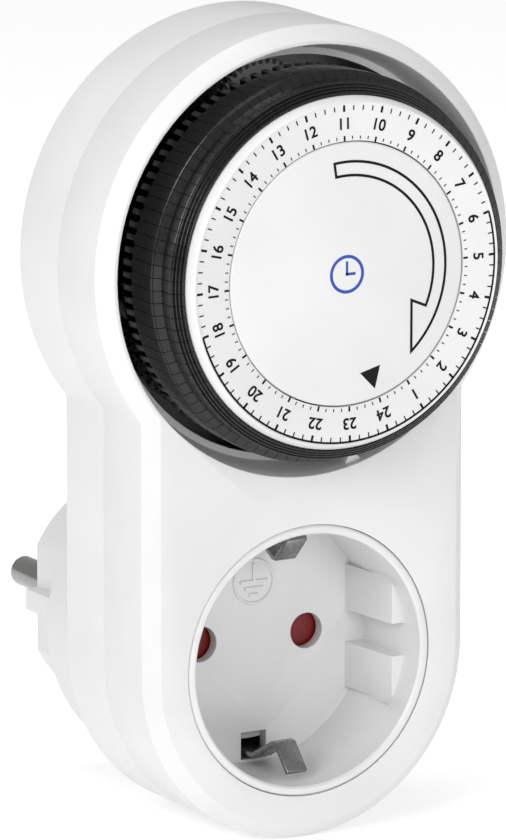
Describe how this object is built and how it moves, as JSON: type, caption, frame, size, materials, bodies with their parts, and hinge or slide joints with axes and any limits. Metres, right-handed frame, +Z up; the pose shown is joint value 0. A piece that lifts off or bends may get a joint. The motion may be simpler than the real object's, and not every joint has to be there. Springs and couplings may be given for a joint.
{
  "type": "plug-in mechanical timer",
  "caption": "Plug-in mechanical socket timer with a turning hour dial, press-in tripper segments, a shuttered earthed socket and a two-pin earthed plug.",
  "frame": {"origin": "centre of the plug's end face, midway between its two pins", "axes": "+Y back along the plug pins into the wall, -Y towards the room, +Z up towards the dial, +X to the right seen from the room"},
  "size_m": [0.073, 0.0884, 0.128],
  "materials": {
    "white_case": "fine satin moulded",
    "white_insert": "smooth moulded",
    "black_tripper": "semi-gloss moulded",
    "red_shutter": "smooth moulded",
    "nickel_pin": "nickel plated",
    "nickel_strip": "plated spring strip",
    "brass_strip": "stamped brass",
    "screw_steel": "zinc plated",
    "motor_steel": "pressed steel",
    "coil_copper": "enamelled copper winding",
    "natural_gear": "natural acetal",
    "grey_moulding": "moulded",
    "dark_switch": "moulded",
    "plunger_red": "moulded"
  },
  "bodies": {
    "housing": {"front_cover": "white_case", "rear_cover": "white_case", "housing_screws": "screw_steel", "socket_insert": "white_insert", "shutter_retainer": "grey_moulding", "shutter_spring": "screw_steel", "earth_strap": "nickel_strip", "plug_earth_contact": "nickel_strip", "neutral_plug_pin": "nickel_pin", "line_plug_pin": "nickel_pin", "neutral_socket_contact": "brass_strip", "line_socket_contact": "brass_strip", "neutral_busbar": "brass_strip", "line_busbar": "brass_strip", "switched_busbar": "brass_strip", "mechanism_plate": "motor_steel", "plate_screws": "screw_steel", "dial_post": "natural_gear", "centre_cap": "white_case", "motor_case": "motor_steel", "motor_end_plate": "motor_steel", "motor_coil": "coil_copper", "wheel_axle": "screw_steel", "microswitch_case": "dark_switch", "switch_terminals": "brass_strip", "lever_bracket": "grey_moulding", "lever_pin": "screw_steel", "lever_spring": "screw_steel"},
    "dial": {"dial_carrier": "black_tripper", "dial_gear": "natural_gear", "scale_ring": "white_case"},
    "reduction_wheel": {"reduction_wheel": "natural_gear"},
    "motor_rotor": {"motor_rotor": "natural_gear"},
    "follower_lever": {"follower_lever": "grey_moulding"},
    "switch_plunger": {"switch_plunger": "plunger_red"},
    "socket_shutter": {"shutter": "red_shutter"},
    "hour_01": {"tripper_hour_01": "black_tripper"},
    "hour_02": {"tripper_hour_02": "black_tripper"},
    "hour_03": {"tripper_hour_03": "black_tripper"},
    "hour_04": {"tripper_hour_04": "black_tripper"},
    "hour_05": {"tripper_hour_05": "black_tripper"},
    "hour_06": {"tripper_hour_06": "black_tripper"},
    "hour_07": {"tripper_hour_07": "black_tripper"},
    "hour_08": {"tripper_hour_08": "black_tripper"},
    "hour_09": {"tripper_hour_09": "black_tripper"},
    "hour_10": {"tripper_hour_10": "black_tripper"},
    "hour_11": {"tripper_hour_11": "black_tripper"},
    "hour_12": {"tripper_hour_12": "black_tripper"},
    "hour_13": {"tripper_hour_13": "black_tripper"},
    "hour_14": {"tripper_hour_14": "black_tripper"},
    "hour_15": {"tripper_hour_15": "black_tripper"},
    "hour_16": {"tripper_hour_16": "black_tripper"},
    "hour_17": {"tripper_hour_17": "black_tripper"},
    "hour_18": {"tripper_hour_18": "black_tripper"},
    "hour_19": {"tripper_hour_19": "black_tripper"},
    "hour_20": {"tripper_hour_20": "black_tripper"},
    "hour_21": {"tripper_hour_21": "black_tripper"},
    "hour_22": {"tripper_hour_22": "black_tripper"},
    "hour_23": {"tripper_hour_23": "black_tripper"},
    "hour_24": {"tripper_hour_24": "black_tripper"}
  },
  "joints": [
    {"name": "dial_turn", "type": "hinge", "parent": "housing", "child": "dial", "pos_m": [0, -0.055, 0.063], "axis": [0, 1, 0], "continuous": true},
    {"name": "wheel_turn", "type": "hinge", "parent": "housing", "child": "reduction_wheel", "pos_m": [0, -0.0444, 0.084], "axis": [0, 1, 0], "continuous": true},
    {"name": "rotor_turn", "type": "hinge", "parent": "housing", "child": "motor_rotor", "pos_m": [-0.006, -0.039, 0.076], "axis": [0, 1, 0], "continuous": true},
    {"name": "press_hour_01", "type": "slide", "parent": "dial", "child": "hour_01", "axis": [0, 1, 0], "range_m": [0, 0.0025]},
    {"name": "press_hour_02", "type": "slide", "parent": "dial", "child": "hour_02", "axis": [0, 1, 0], "range_m": [0, 0.0025]},
    {"name": "press_hour_03", "type": "slide", "parent": "dial", "child": "hour_03", "axis": [0, 1, 0], "range_m": [0, 0.0025]},
    {"name": "press_hour_04", "type": "slide", "parent": "dial", "child": "hour_04", "axis": [0, 1, 0], "range_m": [0, 0.0025]},
    {"name": "press_hour_05", "type": "slide", "parent": "dial", "child": "hour_05", "axis": [0, 1, 0], "range_m": [0, 0.0025]},
    {"name": "press_hour_06", "type": "slide", "parent": "dial", "child": "hour_06", "axis": [0, 1, 0], "range_m": [0, 0.0025]},
    {"name": "press_hour_07", "type": "slide", "parent": "dial", "child": "hour_07", "axis": [0, 1, 0], "range_m": [0, 0.0025]},
    {"name": "press_hour_08", "type": "slide", "parent": "dial", "child": "hour_08", "axis": [0, 1, 0], "range_m": [0, 0.0025]},
    {"name": "press_hour_09", "type": "slide", "parent": "dial", "child": "hour_09", "axis": [0, 1, 0], "range_m": [0, 0.0025]},
    {"name": "press_hour_10", "type": "slide", "parent": "dial", "child": "hour_10", "axis": [0, 1, 0], "range_m": [0, 0.0025]},
    {"name": "press_hour_11", "type": "slide", "parent": "dial", "child": "hour_11", "axis": [0, 1, 0], "range_m": [0, 0.0025]},
    {"name": "press_hour_12", "type": "slide", "parent": "dial", "child": "hour_12", "axis": [0, 1, 0], "range_m": [0, 0.0025]},
    {"name": "press_hour_13", "type": "slide", "parent": "dial", "child": "hour_13", "axis": [0, 1, 0], "range_m": [0, 0.0025]},
    {"name": "press_hour_14", "type": "slide", "parent": "dial", "child": "hour_14", "axis": [0, 1, 0], "range_m": [0, 0.0025]},
    {"name": "press_hour_15", "type": "slide", "parent": "dial", "child": "hour_15", "axis": [0, 1, 0], "range_m": [0, 0.0025]},
    {"name": "press_hour_16", "type": "slide", "parent": "dial", "child": "hour_16", "axis": [0, 1, 0], "range_m": [0, 0.0025]},
    {"name": "press_hour_17", "type": "slide", "parent": "dial", "child": "hour_17", "axis": [0, 1, 0], "range_m": [0, 0.0025]},
    {"name": "press_hour_18", "type": "slide", "parent": "dial", "child": "hour_18", "axis": [0, 1, 0], "range_m": [0, 0.0025]},
    {"name": "press_hour_19", "type": "slide", "parent": "dial", "child": "hour_19", "axis": [0, 1, 0], "range_m": [0, 0.0025]},
    {"name": "press_hour_20", "type": "slide", "parent": "dial", "child": "hour_20", "axis": [0, 1, 0], "range_m": [0, 0.0025]},
    {"name": "press_hour_21", "type": "slide", "parent": "dial", "child": "hour_21", "axis": [0, 1, 0], "range_m": [0, 0.0025]},
    {"name": "press_hour_22", "type": "slide", "parent": "dial", "child": "hour_22", "axis": [0, 1, 0], "range_m": [0, 0.0025]},
    {"name": "press_hour_23", "type": "slide", "parent": "dial", "child": "hour_23", "axis": [0, 1, 0], "range_m": [0, 0.0025]},
    {"name": "press_hour_24", "type": "slide", "parent": "dial", "child": "hour_24", "axis": [0, 1, 0], "range_m": [0, 0.0025]},
    {"name": "lever_swing", "type": "hinge", "parent": "housing", "child": "follower_lever", "pos_m": [0.00968, -0.0491, 0.02522], "axis": [-0.9687, 0, -0.2483], "range_deg": [0, 15]},
    {"name": "plunger_slide", "type": "slide", "parent": "housing", "child": "switch_plunger", "axis": [0, 1, 0], "range_m": [0, 0.0014]},
    {"name": "shutter_turn", "type": "hinge", "parent": "housing", "child": "socket_shutter", "pos_m": [0, -0.0375, 0], "axis": [0, 1, 0], "range_deg": [0, 42], "stiffness_Nm_per_rad": 0.0005, "springref_deg": -20.05}
  ],
  "couplings": [
    {"joint": "wheel_turn", "follows": "dial_turn", "ratio": -6},
    {"joint": "rotor_turn", "follows": "dial_turn", "ratio": 24},
    {"joint": "lever_swing", "follows": "press_hour_23", "rad_per_m": 100},
    {"joint": "plunger_slide", "follows": "press_hour_23", "ratio": 0.56}
  ]
}
